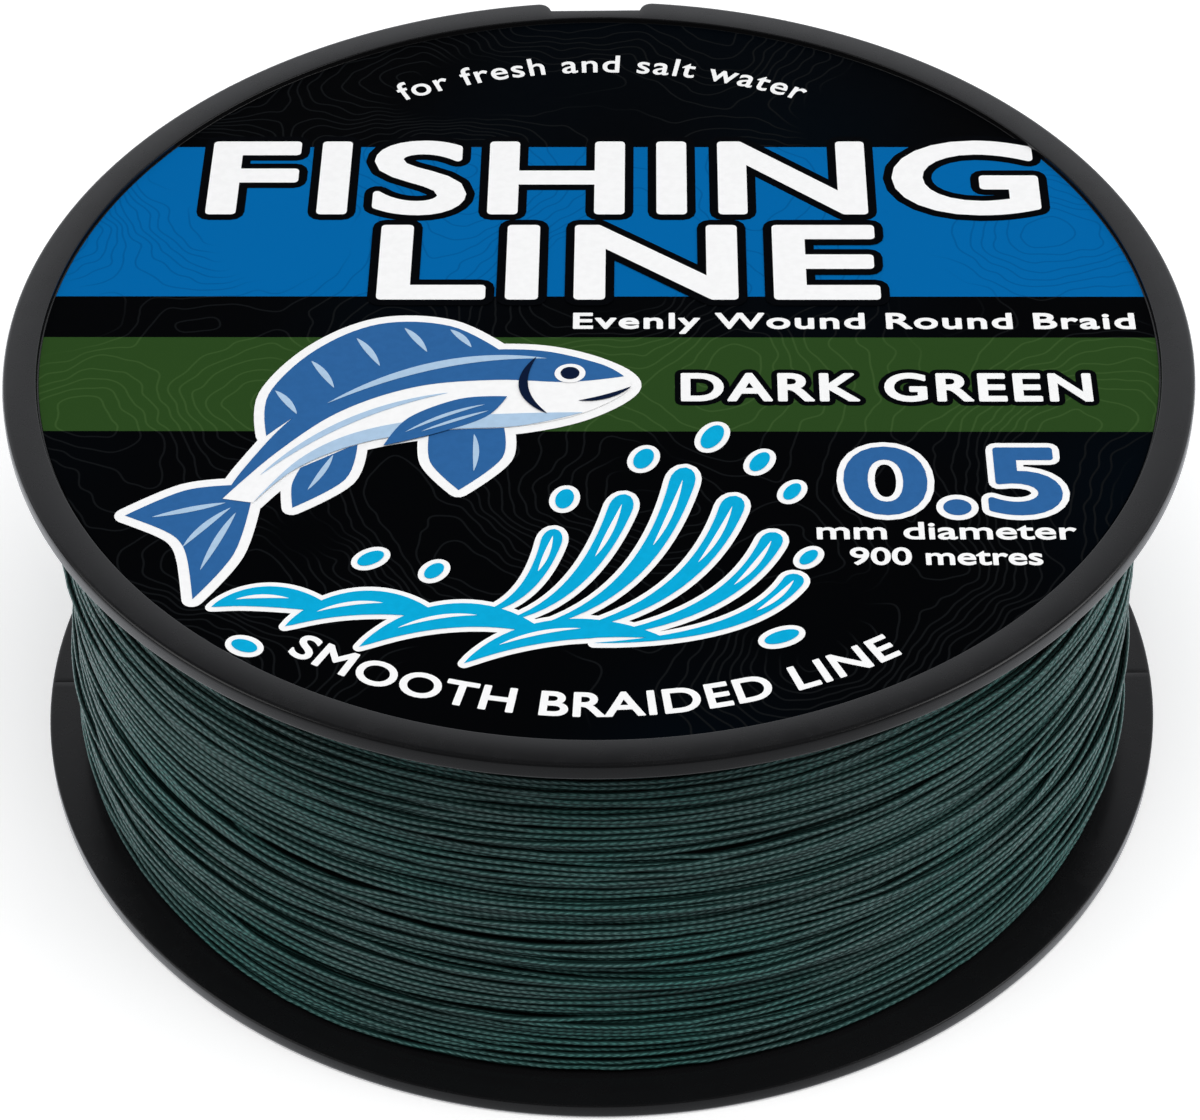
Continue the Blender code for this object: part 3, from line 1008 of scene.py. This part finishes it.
def print_fish(inks):
    """The fish's inks over one white rim, with its fins' rays, gill, mouth and eye."""

    def put(loops):
        return [placed(loop, FISH_PLACE, FISH_SIZE, FISH_TILT) for loop in loops]

    fins = [through(points) for points in (FISH_TAIL, FISH_TOP_FIN, FISH_LOW_FIN, FISH_REAR_FIN)]
    body = through(FISH_BODY)
    rays = [stroke(*ray) for ray in FISH_TAIL_RAYS]
    for x, y, rise in FISH_TOP_RAYS:
        rays.append(stroke((x, y), (x - 0.6, y + rise * 0.6), (x - 1.6, y + rise), 0.75))
    rays += [stroke(*ray) for ray in FISH_LOW_RAYS]
    shading = [through(FISH_SHADE)] + [stroke(*line) for line in FISH_BACK_LINES]
    dark = [stroke(*line) for line in FISH_DARK_LINES]
    side_rays = [stroke(*ray) for ray in FISH_SIDE_RAYS]
    eye = (15.4, 6.4)
    layers = (  # name, outlines, level and ink
        ("rim", [grown(loop, 0.95 * MM) for loop in put([body] + fins)], 2, "white"),
        ("fins", put(fins), 3, "fish_blue"),
        ("fin_rays", put(rays), 4, "pale_blue"),
        ("belly", put([body]), 5, "white"),
        ("back", put([through(FISH_BACK)]), 6, "fish_blue"),
        ("shading", put(shading), 7, "pale_blue"),
        ("side_fin", put([through(FISH_SIDE_FIN)]), 8, "fish_blue"),
        ("dark", put(dark), 9, "navy"),
        ("side_rays", put(side_rays), 9, "pale_blue"),
        ("eye_ring", put([ellipse(eye, 1.55, 1.45)]), 8, "white"),
        ("eye", put([ellipse(eye, 0.95, 0.95)]), 9, "navy"),
    )
    for name, loops, level, colour in layers:
        raised_print(f"fish_{name}", loops, level, inks[colour])


WAVES = (  # start, bend and end of each crest of water, and its width
    ((-33.0, -35.6), (-28.0, -32.6), (-22.0, -36.5), 2.6),
    ((-26.5, -38.0), (-20.0, -32.5), (-13.0, -37.2), 3.0),
    ((-20.0, -40.5), (-12.0, -33.5), (-4.0, -39.0), 3.0),
    ((-11.0, -42.5), (-4.0, -36.0), (6.0, -39.4), 2.6),
)
JETS = (  # foot, bend and head of each jet that the waves throw up, and its width
    ((-10.0, -36.4), (-5.0, -35.0), (-3.6, -25.6), 2.0),
    ((-8.0, -37.4), (-0.5, -35.0), (2.6, -21.0), 2.3),
    ((-6.0, -38.4), (5.0, -35.0), (8.0, -17.4), 2.4),
    ((-4.0, -39.0), (9.0, -36.0), (12.4, -21.2), 2.3),
    ((-2.0, -39.6), (12.0, -37.6), (15.8, -26.0), 2.1),
    ((0.0, -40.0), (14.0, -39.4), (17.6, -31.4), 1.9),
)
DROPS = (  # place, long and short radius, tilt
    ((-19.6, -29.4), 1.3, 0.75, 35), ((-2.8, -21.6), 1.3, 0.8, 78), ((4.2, -16.2), 1.4, 0.85, 70),
    ((10.4, -13.2), 1.7, 0.9, 66), ((14.6, -16.6), 1.4, 0.75, 62), ((17.4, -20.6), 1.2, 0.65, 60),
    ((-14.0, -31.0), 1.1, 0.7, 55), ((-29.8, -40.4), 1.2, 0.7, -25), ((18.6, -29.2), 1.1, 0.6, 52),
    ((16.0, -39.2), 1.6, 0.7, 24),
)


def print_water(inks):
    """Waves under the fish and the jets and drops that they throw up, over one white rim."""
    jets = [stroke(*jet, head=True) for jet in JETS]
    water = [stroke(*wave) for wave in WAVES] + [ellipse(*drop) for drop in DROPS] + jets
    raised_print("water_rim", [grown(loop, 0.55 * MM) for loop in water], 1, inks["white"])
    raised_print("water", water, 3, inks["cyan"])
    glints = [stroke(*stretch_of(jet[:3], 0.66, 0.95), 0.5) for jet in JETS]
    glints += [stroke(*stretch_of(wave[:3], 0.2, 0.62), 0.45) for wave in WAVES]
    raised_print("water_glints", glints, 4, inks["white"])


def print_face(inks):
    """Everything printed on the face label: plain words, a fish and splashing water."""
    white, night = inks["white"], inks["night"]
    on_dark, on_night = (white, night), (inks["fish_blue"], white)
    big = dict(weight=0.42 * MM, outline=0.85 * MM, spacing=1.06)
    print_words("words_fishing", "FISHING", (-38.2, 19.4, 42.6, 31.4), 1, on_dark, **big)
    print_words("words_line", "LINE", (-21.0, 6.4, 26.5, 17.8), 3, on_dark, **big)
    print_words("words_strip", "Evenly Wound Round Braid", (-2.4, 1.45, 50.0, 4.55), 1, on_dark,
                weight=0.10 * MM, spacing=1.1)
    print_words("words_green", "DARK GREEN", (7.6, -8.3, 45.2, -4.2), 1, on_dark,
                weight=0.16 * MM, outline=0.55 * MM, spacing=1.12)
    print_words("words_half", "0.5", (22.0, -23.7, 41.4, -14.5), 1, on_night,
                weight=0.32 * MM, outline=0.62 * MM, spacing=1.08)
    print_words("words_width", "mm diameter", (19.4, -26.9, 42.2, -24.6), 2, on_dark, weight=0.07 * MM)
    print_words("words_length", "900 metres", (22.2, -30.2, 39.0, -27.9), 2, on_dark, weight=0.07 * MM)
    low_radius, high_radius = 48.9, 42.9
    low_half, high_half = low_radius * math.radians(32.4), high_radius * math.radians(27.4)
    print_words("words_bottom", "SMOOTH BRAIDED LINE", (-low_half, 0.0, low_half, 3.0), 1, on_dark,
                weight=0.10 * MM, spacing=1.05, bend=arc(low_radius * MM, -1))
    print_words("words_top", "for fresh and salt water", (-high_half, 0.0, high_half, 3.0), 1, on_dark,
                weight=0.05 * MM, spacing=1.1, bend=arc(high_radius * MM, 1))
    print_fish(inks)
    print_water(inks)


def make_inks():
    return {
        "white": ink("ink_white", (0.93, 0.93, 0.93), (0.90, 0.90, 0.90)),
        "night": ink("ink_night", (0.0010, 0.0013, 0.0020), (0.0014, 0.0018, 0.0026)),
        "navy": ink("ink_navy", (0.004, 0.010, 0.035)),
        "fish_blue": ink("ink_blue", (0.028, 0.125, 0.335)),
        "pale_blue": ink("ink_pale_blue", (0.42, 0.58, 0.76)),
        "cyan": ink("ink_cyan", (0.003, 0.39, 0.68)),
    }


# ---------------------------------------------------------------- underside, tapes and the free end


def make_back_label(material, inks):
    """A ring of film in the underside's seat, with two plain printed rings and its facts in words."""
    high = LABEL_SEAT_DEPTH - 0.02 * MM
    low = high - FILM_THICKNESS
    outer, inner = LABEL_RADIUS, BACK_INNER_RADIUS
    edge = 0.05 * MM
    section = rounded_profile([(outer, high, 0), (outer, low, edge), (inner, low, edge), (inner, high, 0)])
    mesh = turned_mesh("back_label_film", lambda angle: section, full_circle(256), sharp=30)
    finish_piece(new_object("back_label_film", mesh), material, "back_film", "back_label")
    for number, (r0, r1) in enumerate(((34.0 * MM, 34.4 * MM), (49.3 * MM, 49.9 * MM))):
        floor = low - 0.01 * MM
        ring = [(r1, low), (r1, floor), (r0, floor), (r0, low)]
        mesh = turned_mesh("ring", lambda angle: ring, full_circle(256), sharp=30)
        finish_piece(new_object(f"back_ring_{number}", mesh), inks["white"], "back_film")
    flip = Matrix.Rotation(math.pi, 4, "Y")
    reach = 24.0 * MM
    facts = (("BRAIDED LINE 900 m", arc(40.2 * MM, 1)), ("DIAMETER 0.5 mm", arc(43.0 * MM, -1)))
    for number, (words, bend) in enumerate(facts):
        loops = fitted_words(words, (-reach, 0.0, reach, 3.2 * MM), 1.1, bend)
        mesh = filled_mesh(f"back_words_{number}", loops, PRINT_STEP)
        mesh.transform(Matrix.Translation((0, 0, low - PRINT_STEP)) @ flip)
        finish_piece(new_object(f"back_words_{number}", mesh), inks["white"], "back_film")


def tape_mesh(name, radius_at, span, heights, corner=1.2 * MM, across=14, along=40):
    """Tape that follows a round surface, with rounded corners and soft edges, as a closed thin sheet."""
    (first, last), (low, high) = span, heights
    middle_r = radius_at(0.5 * (first + last), 0.5 * (low + high))
    length = (last - first) * middle_r
    points, rows = [], []
    for side in (0, 1):
        for i in range(along + 1):
            s = length * (i / along - 0.5)
            for j in range(across + 1):
                t = (high - low) * (j / across - 0.5)
                edge_s = max(abs(s) - (length / 2 - corner), 0.0)
                inset = corner - math.sqrt(max(corner**2 - edge_s**2, 0.0))
                z = 0.5 * (low + high) + t * (1 - 2 * inset / (high - low))
                angle = 0.5 * (first + last) + s / middle_r
                r = radius_at(angle, z) + side * TAPE_THICKNESS
                points.append((r * math.cos(angle), r * math.sin(angle), z))
    wide = across + 1
    per_side = wide * (along + 1)
    for i in range(along):
        for j in range(across):
            a, b, c, d = i * wide + j, (i + 1) * wide + j, (i + 1) * wide + j + 1, i * wide + j + 1
            rows.append((a, d, c, b))
            rows.append(tuple(per_side + v for v in (a, b, c, d)))
    border = [i * wide for i in range(along)] + [along * wide + j for j in range(across)]
    border += [i * wide + across for i in range(along, 0, -1)] + list(range(across, 0, -1))
    for here, there in zip(border, border[1:] + border[:1]):
        rows.append((here, there, there + per_side, here + per_side))
    mesh = mesh_of(name, points, rows, sharp=50)
    face_outwards(mesh)
    return mesh


def make_tapes_and_end(tape, line):
    """The tab that holds the free end, the end itself, and the hidden tape at the line's start."""
    end_radius = WINDING_RADIUS - 0.03 * MM
    height = 0.5 * (TAPE_LOW.z + TAPE_HIGH.z)
    half_tape = END_TAPE_LENGTH / 2 / end_radius

    last = END_TAPE_ANGLE + half_tape + END_OVERHANG / end_radius
    count = 120
    angle = np.linspace(last - END_LENGTH / end_radius, last, count)
    sink = np.clip(1 - np.arange(count) / 30.0, 0, 1) ** 2 * 0.5 * MM
    drift = 0.25 * MM * np.sin(np.linspace(0, 5.0, count))
    mesh = tube_along("free_end", (angle, end_radius - sink, height + drift), STRAND_RADIUS, 12)
    finish_piece(new_object("free_end", mesh), line, "moss_braid", "line_end")

    def over_the_end(angle, z):
        lift = math.exp(-(((z - height) / (0.55 * MM)) ** 2))
        ripple = 0.03 * MM * math.sin(z / (0.19 * MM)) + 0.03 * MM * math.sin(angle * 150)
        return end_radius - 0.12 * MM + 0.46 * MM * lift + ripple

    span = (END_TAPE_ANGLE - half_tape, END_TAPE_ANGLE + half_tape)
    mesh = tape_mesh("end_tab", over_the_end, span, (TAPE_LOW.z, TAPE_HIGH.z), across=40)
    finish_piece(new_object("end_tab", mesh), tape, "clear_tape", "end_tape")

    reach = ANCHOR_TAPE_LENGTH / 2 / BARREL_RADIUS
    heights = (ANCHOR_LOW.z, ANCHOR_HIGH.z)
    mesh = tape_mesh("anchor_tab", lambda a, z: BARREL_RADIUS + 0.02 * MM, (-reach, reach), heights)
    finish_piece(new_object("anchor_tab", mesh), tape, "clear_tape", "anchor_tape")


# ---------------------------------------------------------------- stage, lights and camera


def make_stage():
    """A white floor. The spool sees the studio's own light from below instead of the floor's bounce."""
    white = (1.0, 1.0, 1.0)
    material = dressed(new_material("studio_white")[0], {
        "Base Color": (0.93, 0.93, 0.93), "Roughness": 0.9, "Specular IOR Level": 0.0,
        "Emission Color": white, "Emission Strength": 0.30,
    })
    half = 3.0
    mesh = mesh_of("floor", [(-half, -half, 0), (half, -half, 0), (half, half, 0), (-half, half, 0)],
                   [(0, 1, 2, 3)], smooth=False)
    mesh.materials.append(material)
    floor = new_object("floor", mesh)
    floor.location.z = -0.02 * MM
    floor.visible_diffuse = False
    floor.visible_glossy = False


def soft_light(name, place, target, size, watts, glossy=True):
    light = bpy.data.lights.new(name, "AREA")
    light.shape = "RECTANGLE"
    light.size, light.size_y = size
    light.energy = watts
    obj = new_object(name, light)
    obj.location = place
    obj.rotation_mode = "QUATERNION"
    obj.rotation_quaternion = (Vector(target) - Vector(place)).to_track_quat("-Z", "Y")
    obj.visible_glossy = glossy


def make_world():
    """A studio: a lit backdrop behind, and a pale table, dimmer towards the camera, with a brighter far
    panel at each side."""
    world = bpy.data.worlds.new("studio")
    bpy.context.scene.world = world
    world.use_nodes = True
    tree = world.node_tree
    x, y, z = Signal(add_node(tree, "ShaderNodeTexCoord").outputs["Generated"]).split()
    upper = z.remapped(0.58, 0.78, 0.82, 0.0) * y.remapped(0.25, 0.6) + 0.045
    table = y.remapped(-0.7, 0.3, 0.40, 1.15) * x.remapped(-0.7, 0.7, 0.95, 0.85)
    panels = x.maths("ABSOLUTE").remapped(0.50, 0.72) * (z.remapped(-0.42, -0.25) * y.remapped(0.1, 0.4))
    below = z.remapped(-0.12, 0.02, 1.0, 0.0)
    light = add_node(tree, "ShaderNodeMix", {0: below, 2: upper, 3: table + panels * 1.4})
    background = tree.nodes["Background"]
    plug(background.inputs["Color"], (0.965, 0.985, 1.03))
    plug(background.inputs["Strength"], Signal(light.outputs[0]))


def make_lights():
    make_world()
    middle = (0, 0, HEIGHT / 2)
    soft_light("overhead", (0, -0.25, 0.95), middle, (1.1, 0.8), 8.0, glossy=False)
    soft_light("left", (-0.62, -0.12, 0.42), middle, (0.5, 0.4), 0.85)
    soft_light("right", (0.62, -0.12, 0.42), middle, (0.5, 0.4), 1.4)


def make_camera():
    """The product shot's camera: 42 degrees above the spool's middle, at 377 mm."""
    elevation, distance = math.radians(42.19), 0.37725
    camera = bpy.data.cameras.new("camera")
    camera.lens = 117.15
    camera.sensor_width = 36.0
    camera.shift_y = -0.0318
    camera.clip_start, camera.clip_end = 0.01, 20.0
    obj = new_object("camera", camera)
    middle = Vector((0, 0, HEIGHT / 2))
    back = Vector((0, -math.cos(elevation), math.sin(elevation)))
    obj.location = middle + back * distance
    roll = Matrix.Rotation(math.radians(-0.51), 4, "Z")
    obj.rotation_euler = ((-back).to_track_quat("-Z", "Y").to_matrix().to_4x4() @ roll).to_euler()
    bpy.context.scene.camera = obj


def main():
    make_camera()
    make_stage()
    make_lights()
    bpy.context.scene.view_settings.view_transform = "Standard"
    plastic, line, tape = moulded_plastic(), braid(), clear_tape()
    inks = make_inks()
    make_moulding(plastic)
    make_winding(line, shaded_inner_braid())
    make_face_label(printed_label())
    print_face(inks)
    make_back_label(ink("back_film", (0.012, 0.014, 0.016), (0.016, 0.018, 0.021)), inks)
    make_tapes_and_end(tape, line)


main()
